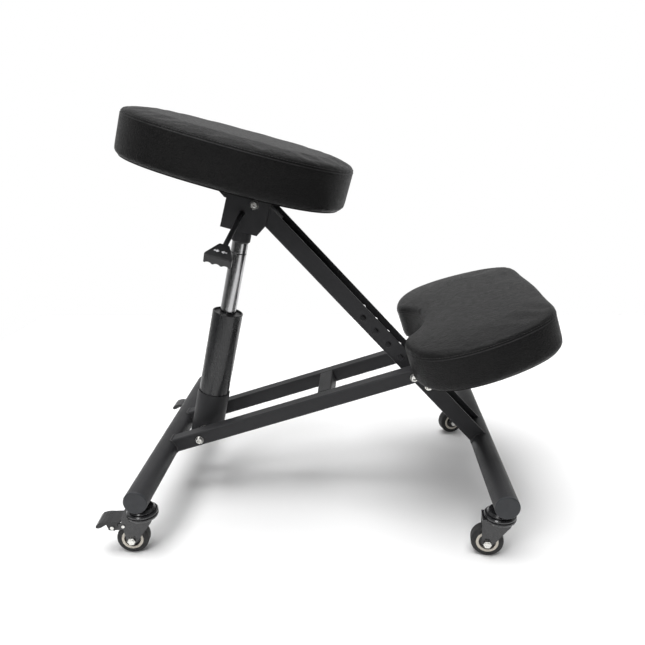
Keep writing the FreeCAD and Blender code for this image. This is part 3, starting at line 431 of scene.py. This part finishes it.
# ---------- mesh helpers ----------
def new_object(name, mesh_data, material, matrix=None):
    mesh = bpy.data.meshes.new(name)
    mesh_data.to_mesh(mesh)
    mesh_data.free()
    for polygon in mesh.polygons:
        polygon.use_smooth = True
    obj = bpy.data.objects.new(name, mesh)
    scene.collection.objects.link(obj)
    obj.data.materials.append(material)
    if matrix is not None:
        obj.matrix_world = matrix
    return obj


def pad_frame(mount):
    """The pad's own frame: origin on its top face, +Z out of it, +Y across the chair."""
    up = Vector(mount["axis"]).normalized()
    side = Vector((0, 1, 0))
    forward = side.cross(up).normalized()
    rotation = Matrix((forward, side, up)).transposed().to_4x4()
    return Matrix.Translation(Vector(mount["pos_m"])) @ rotation


def oval(count):
    """The seat's outline, an ellipse made squarer and a little wider at its front."""
    points = []
    for k in range(count):
        angle = 2 * math.pi * (k + 0.5) / count
        c = math.cos(angle)
        s = math.sin(angle)
        reach = abs(c) ** (2 / SEAT_POWER) * math.copysign(1, c)
        half = SEAT_WIDTH / 2 + SEAT_TAPER * reach
        across = half * abs(s) ** (2 / SEAT_POWER) * math.copysign(1, s)
        points.append(Vector((SEAT_LENGTH / 2 * reach, across, 0)))
    return points


def kidney(count):
    """Points evenly along the smooth closed curve through the knee pad's outline."""
    left = [Vector((x * MM, y * MM, 0)) for x, y in KNEE_OUTLINE]
    right = [Vector((p.x, -p.y, 0)) for p in left[-2:0:-1]]
    knots = left + right
    n = len(knots)
    gaps = [math.sqrt((knots[(k + 1) % n] - knots[k]).length) for k in range(n)]
    tangents = periodic_tangents(knots, gaps)
    dense = []
    for k in range(n):
        p0 = knots[k]
        p1 = knots[(k + 1) % n]
        m0 = tangents[k] * gaps[k]
        m1 = tangents[(k + 1) % n] * gaps[k]
        for step in range(60):
            t = step / 60
            h = (2 * t**3 - 3 * t**2 + 1, t**3 - 2 * t**2 + t, 3 * t**2 - 2 * t**3, t**3 - t**2)
            dense.append(p0 * h[0] + m0 * h[1] + p1 * h[2] + m1 * h[3])
    return even_points(dense, count)


def periodic_tangents(knots, gaps):
    """Slopes of the smooth closed cubic through the knots, by repeated relaxation."""
    n = len(knots)
    tangents = [Vector((0, 0, 0)) for _ in knots]
    for _ in range(60):
        for k in range(n):
            before = gaps[k - 1]
            after = gaps[k]
            pull = 3 * ((knots[k] - knots[k - 1]) / before**2 + (knots[(k + 1) % n] - knots[k]) / after**2)
            sides = tangents[k - 1] / before + tangents[(k + 1) % n] / after
            tangents[k] = (pull - sides) / (2 / before + 2 / after)
    return tangents


def even_points(dense, count):
    """Points at even steps along a closed line."""
    n = len(dense)
    lengths = [0.0]
    for k in range(n):
        lengths.append(lengths[-1] + (dense[(k + 1) % n] - dense[k]).length)
    points = []
    k = 0
    for i in range(count):
        target = lengths[-1] * i / count
        while lengths[k + 1] < target:
            k += 1
        t = (target - lengths[k]) / (lengths[k + 1] - lengths[k])
        points.append(dense[k].lerp(dense[(k + 1) % n], t))
    return points


def inset_loop(points, inset, z):
    """The outline moved inwards by a distance, at a height."""
    n = len(points)
    area = sum(points[k].x * points[(k + 1) % n].y - points[(k + 1) % n].x * points[k].y for k in range(n))
    turn = 1 if area > 0 else -1
    loop = []
    for k in range(n):
        along = (points[(k + 1) % n] - points[k - 1]).normalized()
        inward = Vector((-along.y, along.x, 0)) * turn
        moved = points[k] + inward * inset
        loop.append(Vector((moved.x, moved.y, z)))
    return loop


def lofted(profile, points):
    """A closed mesh through the outline at each (inset, z) of a profile that runs from bottom to top."""
    bm = bmesh.new()
    rings = []
    for inset, z in profile:
        rings.append([bm.verts.new(p) for p in inset_loop(points, inset, z)])
    n = len(points)
    for low, high in zip(rings, rings[1:]):
        for k in range(n):
            bm.faces.new((low[k], low[(k + 1) % n], high[(k + 1) % n], high[k]))
    for ring in (rings[0], rings[-1]):
        bm.faces.new(ring)
    bmesh.ops.triangulate(bm, faces=[f for f in bm.faces if len(f.verts) > 4])
    bmesh.ops.recalc_face_normals(bm, faces=bm.faces)
    return bm


def apply_modifiers(obj):
    """Keep the shape that the object's modifiers give, and drop them."""
    depsgraph = bpy.context.evaluated_depsgraph_get()
    mesh = bpy.data.meshes.new_from_object(obj.evaluated_get(depsgraph))
    obj.modifiers.clear()
    obj.data = mesh


def outline_length(points):
    return sum((points[k] - points[k - 1]).length for k in range(len(points)))


def rounded_square(half, radius, count):
    """(y, z) points evenly round a square with rounded corners."""
    dense = []
    for quarter in range(4):
        middle = math.radians(45 + 90 * quarter)
        side_y = math.copysign(half - radius, math.cos(middle))
        side_z = math.copysign(half - radius, math.sin(middle))
        centre = Vector((side_y, side_z, 0))
        for step in range(9):
            angle = middle + math.radians(-45 + 90 * step / 8)
            dense.append(centre + Vector((math.cos(angle), math.sin(angle), 0)) * radius)
    return [(p.x, p.y) for p in even_points(dense, count)]


def arc(inset, z, radius, start, stop, steps=6):
    """Profile points round a corner whose centre is at (inset, z)."""
    points = []
    for k in range(steps + 1):
        angle = math.radians(start + (stop - start) * k / steps)
        points.append((inset - radius * math.cos(angle), z + radius * math.sin(angle)))
    return points


def inflate(obj, held):
    """Swell a closed mesh with Cloth under pressure, holding some of its points, and keep the result."""
    rest = [v.co.copy() for v in obj.data.vertices]
    group = obj.vertex_groups.new(name="held")
    group.add([k for k, co in enumerate(rest) if held(co)], 1.0, "REPLACE")
    cloth = obj.modifiers.new("Cloth", "CLOTH")
    settings = cloth.settings
    settings.quality = 5
    settings.mass = 0.3
    settings.tension_stiffness = 60
    settings.compression_stiffness = 60
    settings.shear_stiffness = 40
    settings.bending_stiffness = 40.0
    settings.use_pressure = True
    settings.uniform_pressure_force = PRESSURE
    settings.vertex_group_mass = "held"
    settings.effector_weights.gravity = 0.0
    cloth.point_cache.frame_start = 1
    cloth.point_cache.frame_end = 20
    for number in range(1, 21):
        scene.frame_set(number)
    apply_modifiers(obj)
    scene.frame_set(1)
    for vertex, old in zip(obj.data.vertices, rest):
        moved = vertex.co - old
        if moved.length > SWELL_LIMIT:
            vertex.co = old + moved.normalized() * SWELL_LIMIT


def cushion(name, mount, body, points, thickness, cad_node, material):
    """A sewn cushion: a remeshed closed pad, swollen by simulation between its seam and its board."""
    low = -thickness
    side = -PAD_OUTSET
    profile = arc(side + BOTTOM_ROUND, low + BOTTOM_ROUND, BOTTOM_ROUND, -90, 0)
    profile += [(side, low + rise) for rise in WALL_RISES]
    profile.append((side, WALL_TOP))
    profile += arc(side + TOP_ROUND, TOP_EDGE - TOP_ROUND, TOP_ROUND, 0, 90)
    profile += [(side + inwards, z) for inwards, z in CROWN]
    pad = new_object(name, lofted(profile, points), material, pad_frame(mount))
    remesh = pad.modifiers.new("Remesh", "REMESH")
    remesh.mode = "VOXEL"
    remesh.voxel_size = VOXEL
    apply_modifiers(pad)

    def held(co):
        return abs(co.z + SEAM_DROP) < SEAM_HOLD or co.z < low + BOTTOM_HOLD

    inflate(pad, held)
    divide = pad.modifiers.new("Subdivision", "SUBSURF")
    divide.levels = 1
    divide.render_levels = 1
    apply_modifiers(pad)
    for polygon in pad.data.polygons:
        polygon.use_smooth = True
    if not pad.data.materials:
        pad.data.materials.append(material)
    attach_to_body(pad, body)
    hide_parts(cad_node)
    return pad


def surface_loop(pad, points, z, lift):
    """Points and normals on a pad's side at a height, found by casting inwards at the outline."""
    tree = BVHTree.FromPolygons([v.co for v in pad.data.vertices], [p.vertices for p in pad.data.polygons])
    outer = inset_loop(points, -30 * MM, z)
    inner = inset_loop(points, 20 * MM, z)
    loop = []
    for start, goal in zip(outer, inner):
        hit, normal, _, _ = tree.ray_cast(start, (goal - start).normalized())
        loop.append((hit + normal * lift, normal))
    return loop


def tube_mesh(bm, path, radius, sides, closed=False):
    """A round tube along a path, with flat ends unless the path is closed."""
    n = len(path)
    rings = []
    for k in range(n):
        if closed:
            along = (path[(k + 1) % n] - path[k - 1]).normalized()
        else:
            along = (path[min(k + 1, n - 1)] - path[max(k - 1, 0)]).normalized()
        if k == 0:
            side = along.orthogonal().normalized()
        else:
            side = (side - along * side.dot(along)).normalized()
        over = along.cross(side)
        ring = []
        for j in range(sides):
            angle = 2 * math.pi * j / sides
            ring.append(bm.verts.new(path[k] + (side * math.cos(angle) + over * math.sin(angle)) * radius))
        rings.append(ring)
    pairs = list(zip(rings, rings[1:]))
    if closed:
        pairs.append((rings[-1], rings[0]))
    for first, second in pairs:
        for j in range(sides):
            bm.faces.new((first[j], first[(j + 1) % sides], second[(j + 1) % sides], second[j]))
    if not closed:
        bm.faces.new(list(reversed(rings[0])))
        bm.faces.new(rings[-1])


def attach(piece, body):
    """Let a piece move with a body."""
    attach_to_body(piece, body)


def stitches(name, mount, body, loop):
    """A row of short threads along a loop of surface points, each dipping into the cover at its ends."""
    bm = bmesh.new()
    n = len(loop)
    for k in range(0, n, 2):
        here, normal = loop[k]
        along = (loop[(k + 1) % n][0] - here).normalized()
        half = along * STITCH_LENGTH / 2
        low = -normal * THREAD_R
        high = normal * THREAD_R * 0.8
        path = [here - half + low, here - half * 0.6 + high, here + half * 0.6 + high, here + half + low]
        tube_mesh(bm, path, THREAD_R, 6)
    attach(new_object(name, bm, THREAD, pad_frame(mount)), body)


def strip_mesh(bm, inner, outer, thickness, closed):
    """A flat band between two lines of points, with its thickness downwards."""
    drop = Vector((0, 0, -thickness))
    rows = [[bm.verts.new(p) for p in line] for line in (inner, outer)]
    rows += [[bm.verts.new(p + drop) for p in line] for line in (outer, inner)]
    n = len(inner)
    for k in range(n if closed else n - 1):
        after = (k + 1) % n
        for first, second in zip(rows, rows[1:] + rows[:1]):
            bm.faces.new((first[k], first[after], second[after], second[k]))
    if not closed:
        bm.faces.new([row[0] for row in rows])
        bm.faces.new([row[-1] for row in reversed(rows)])
    bmesh.ops.recalc_face_normals(bm, faces=bm.faces)


def hem(name, mount, body, points, thickness, material, closed, skip):
    """The cover's edge turned under the board, with its wire staples. skip says which points have none."""
    z = -thickness + 0.1 * MM
    outer = inset_loop(points, HEM_INSET, z)
    inner = inset_loop(points, HEM_INSET + HEM_WIDTH, z)
    middle = inset_loop(points, HEM_INSET + HEM_WIDTH * STAPLE_LINE, z - STAPLE_DROP)
    kept = [k for k in range(len(points)) if not skip(points[k])]
    if not closed:
        start = next(k for k in kept if k - 1 not in kept and k > 0)
        kept = sorted(kept, key=lambda k: (k - start) % len(points))
    bm = bmesh.new()
    strip_mesh(bm, [inner[k] for k in kept], [outer[k] for k in kept], HEM_THICKNESS, closed)
    attach(new_object(name, bm, material, pad_frame(mount)), body)
    bm = bmesh.new()
    up = Vector((0, 0, STAPLE_LEG))
    for k in kept[3:-3:STAPLE_STEP]:
        along = (middle[(k + 1) % len(points)] - middle[k]).normalized() * STAPLE_HALF
        centre = middle[k]
        path = [centre - along + up, centre - along * 0.96, centre + along * 0.96, centre + along + up]
        tube_mesh(bm, path, STAPLE_R, 6)
    attach(new_object(name + "_staples", bm, ZINC, pad_frame(mount)), body)


def bead(name, path, body, closed=False):
    """A weld bead whose thickness ripples along its path."""
    bm = bmesh.new()
    tube_mesh(bm, path, BEAD_R, BEAD_SIDES, closed)
    for k, vertex in enumerate(bm.verts):
        place = k // BEAD_SIDES
        centre = path[place]
        vertex.co = centre + (vertex.co - centre) * (1 + 0.16 * math.sin(place * 1.9))
    attach(new_object(name, bm, WELD), body)


def slope_frame(origin, forward):
    """A frame in the XZ plane: X along a direction, Y across the chair, Z square to both."""
    along = Vector((forward.x, 0, forward.z)).normalized()
    side = Vector((0, 1, 0))
    return Matrix.Translation(origin) @ Matrix((along, side, along.cross(side))).transposed().to_4x4()


def box_middle(name):
    """The middle of a CAD node's box."""
    low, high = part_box(name)
    return Vector([(a + b) / 2 for a, b in zip(low, high)])


# ---------- cushions ----------
THREAD = thread()
WELD = weld_steel()
seat_points = even_points(oval(720), 300)
knee_points = kidney(340)
SEAT_LEATHER = leather("seat_leather")
KNEE_LEATHER = leather("knee_leather")
seat_pad = cushion("seat_upholstery", mounts["seat_top"], "seat_assembly", seat_points,
                   SEAT_THICKNESS, "seat_cushion", SEAT_LEATHER)
knee_pad = cushion("knee_upholstery", mounts["shin_pad_top"], "front_frame", knee_points,
                   KNEE_THICKNESS, "knee_cushion", KNEE_LEATHER)

for name, mount, body, pad, points in (
        ("seat", mounts["seat_top"], "seat_assembly", seat_pad, seat_points),
        ("knee", mounts["shin_pad_top"], "front_frame", knee_pad, knee_points)):
    half_steps = 2 * round(outline_length(points) / (STITCH_PITCH / 2))
    stitches(name + "_stitches", mount, body,
             surface_loop(pad, even_points(points, half_steps), -STITCH_DROP, 0.0))
    seam = surface_loop(pad, points, -SEAM_DROP, -SEAM_SUNK)
    welt = bmesh.new()
    tube_mesh(welt, [p for p, normal in seam], WELT_R, 8, True)
    attach(new_object(name + "_seam", welt, WELT, pad_frame(mount)), body)
hem("seat_hem", mounts["seat_top"], "seat_assembly", seat_points, SEAT_THICKNESS, SEAT_LEATHER,
    True, lambda p: False)
hem("knee_hem", mounts["shin_pad_top"], "front_frame", knee_points, KNEE_THICKNESS, KNEE_LEATHER,
    False, lambda p: abs(p.y) < NOTCH_HALF and p.x < 0)

# ---------- weld beads ----------
rear_middle = box_middle("rear_foot_tube")
front_middle = box_middle("front_foot_tube")
front_pivot = Vector(joints["front_frame_pivot"]["pos_m"])
rails = slope_frame(Vector((rear_middle.x, 0, rear_middle.z)), front_pivot - rear_middle)
for side, name in ((-1, "right_rail_weld"), (1, "left_rail_weld")):
    middle_y = box_middle("left_rail").y * side
    ring = []
    for y, z in rounded_square(RAIL_SIZE / 2, RAIL_ROUND, 40):
        z += RAIL_LIFT
        ring.append(rails @ Vector((math.sqrt(TUBE_R**2 - z**2) + BEAD_PROUD, middle_y + y, z)))
    bead(name, ring, "base_frame", closed=True)
channel = slope_frame(Vector((front_middle.x, 0, front_middle.z)), front_middle - front_pivot)
edge = CHANNEL_WIDTH / 2
corners = [(-edge, CHANNEL_HIGH), (-edge, CHANNEL_LOW), (edge, CHANNEL_LOW), (edge, CHANNEL_HIGH)]
path = []
for (y0, z0), (y1, z1) in zip(corners, corners[1:]):
    for step in range(BEAD_STEPS):
        y = y0 + (y1 - y0) * step / BEAD_STEPS
        z = z0 + (z1 - z0) * step / BEAD_STEPS
        path.append(channel @ Vector((-math.sqrt(TUBE_R**2 - z**2) - BEAD_PROUD, y, z)))
bead("channel_weld", path, "front_frame")


# ---------- arrow mark on the lift lever ----------
def grip_face():
    """The middle and the normal of the grip's flat top."""
    mesh = nodes["lift_lever_grip"].data
    facing = [p for p in mesh.polygons if p.normal.z > 0.8]
    top = max(facing, key=lambda p: sum(q.area for q in facing if q.normal.dot(p.normal) > 0.999))
    flat = [p for p in facing if p.normal.dot(top.normal) > 0.999]
    area = sum(p.area for p in flat)
    return sum((p.center * p.area for p in flat), Vector((0, 0, 0))) / area, top.normal.copy()


mark_at, mark_up = grip_face()
mark_x = (pad_frame(mounts["seat_top"]).to_3x3() @ Vector((1, 0, 0))).normalized()
mark_y = mark_up.cross(mark_x).normalized()
mark_x = mark_y.cross(mark_up)
bm = bmesh.new()
for way in (-1, 1):
    lowest = [mark_at + (mark_x * way * x + mark_y * y) * MM + mark_up * MARK_GAP for x, y in ARROW]
    low = [bm.verts.new(p) for p in lowest]
    high = [bm.verts.new(p + mark_up * MARK_HEIGHT) for p in lowest]
    bm.faces.new(high)
    bm.faces.new(list(reversed(low)))
    for k in range(len(low)):
        after = (k + 1) % len(low)
        bm.faces.new((low[k], low[after], high[after], high[k]))
bmesh.ops.recalc_face_normals(bm, faces=bm.faces)
PALE = moulded_plastic("mark_print", (0.6, 0.6, 0.62), (0.72, 0.72, 0.74), 0.45)
attach(new_object("lever_arrows", bm, PALE), "lift_lever")


# ---------- stage, lights and camera ----------
def flat_material(name, color):
    s = Shader(name)
    s.set(Specular_IOR_Level=0.1)
    s.color(s.mix(s.spread(s.noise(3, 2), 0.3, 0.7), color, tuple(c * 0.99 for c in color)))
    s.rough(s.spread(s.noise(5, 2), 0.3, 0.7, 0.85, 0.95))
    return s.material


floor_mesh = bmesh.new()
bmesh.ops.create_grid(floor_mesh, x_segments=2, y_segments=2, size=1.1)
floor = new_object("studio_floor", floor_mesh, flat_material("studio_floor", (0.92, 0.92, 0.92)))


def area_light(name, place, target, size, power):
    data = bpy.data.lights.new(name, "AREA")
    data.shape = "SQUARE"
    data.size = size
    data.energy = power
    light = bpy.data.objects.new(name, data)
    scene.collection.objects.link(light)
    light.location = place
    direction = Vector(target) - Vector(place)
    light.rotation_euler = direction.to_track_quat("-Z", "Y").to_euler()


def sun_light(name, direction, angle, strength):
    data = bpy.data.lights.new(name, "SUN")
    data.angle = math.radians(angle)
    data.energy = strength
    light = bpy.data.objects.new(name, data)
    scene.collection.objects.link(light)
    light.rotation_euler = Vector(direction).to_track_quat("-Z", "Y").to_euler()


sun_light("overhead", (0.1, 0.1, -1.0), 50, 3.1)
area_light("key", (-1.0, -1.9, 1.9), (0, 0, 0.35), 0.6, 13)
area_light("strip", (-0.2, -2.2, 0.9), (-0.15, 0, 0.35), 0.3, 4)



def studio_world():
    """White seen directly, but as a light brighter behind the chair than before it."""
    world = bpy.data.worlds.new("studio")
    scene.world = world
    world.use_nodes = True
    tree = world.node_tree
    around = tree.nodes["Background"]
    around.inputs["Color"].default_value = (1.0, 1.0, 1.0, 1.0)
    direction = tree.nodes.new("ShaderNodeTexCoord")
    parts = tree.nodes.new("ShaderNodeSeparateXYZ")
    shade = tree.nodes.new("ShaderNodeMapRange")
    shade.inputs["From Min"].default_value = -0.6
    shade.inputs["From Max"].default_value = 0.8
    shade.inputs["To Min"].default_value = 0.04
    shade.inputs["To Max"].default_value = 0.75
    tree.links.new(direction.outputs["Generated"], parts.inputs["Vector"])
    tree.links.new(parts.outputs["Y"], shade.inputs["Value"])
    tree.links.new(shade.outputs["Result"], around.inputs["Strength"])
    backdrop = tree.nodes.new("ShaderNodeBackground")
    backdrop.inputs["Color"].default_value = (1.0, 1.0, 1.0, 1.0)
    backdrop.inputs["Strength"].default_value = 1.0
    seen = tree.nodes.new("ShaderNodeLightPath")
    choose = tree.nodes.new("ShaderNodeMixShader")
    tree.links.new(seen.outputs["Is Camera Ray"], choose.inputs["Fac"])
    tree.links.new(around.outputs["Background"], choose.inputs[1])
    tree.links.new(backdrop.outputs["Background"], choose.inputs[2])
    tree.links.new(choose.outputs["Shader"], tree.nodes["World Output"].inputs["Surface"])


studio_world()
scene.view_settings.view_transform = "Standard"

flat = math.cos(CAMERA_PITCH)
ahead = Vector((math.sin(CAMERA_YAW) * flat, math.cos(CAMERA_YAW) * flat, -math.sin(CAMERA_PITCH)))
level = Vector((math.cos(CAMERA_YAW), -math.sin(CAMERA_YAW), 0))
over = level.cross(ahead)
right = level * math.cos(CAMERA_ROLL) + over * math.sin(CAMERA_ROLL)
upward = over * math.cos(CAMERA_ROLL) - level * math.sin(CAMERA_ROLL)
camera_data = bpy.data.cameras.new("camera")
camera_data.sensor_width = SENSOR
camera_data.lens = SENSOR * FOCAL_RATIO
camera = bpy.data.objects.new("camera", camera_data)
scene.collection.objects.link(camera)
camera.matrix_world = Matrix.Translation(CAMERA_AT) @ Matrix((right, upward, -ahead)).transposed().to_4x4()
scene.camera = camera
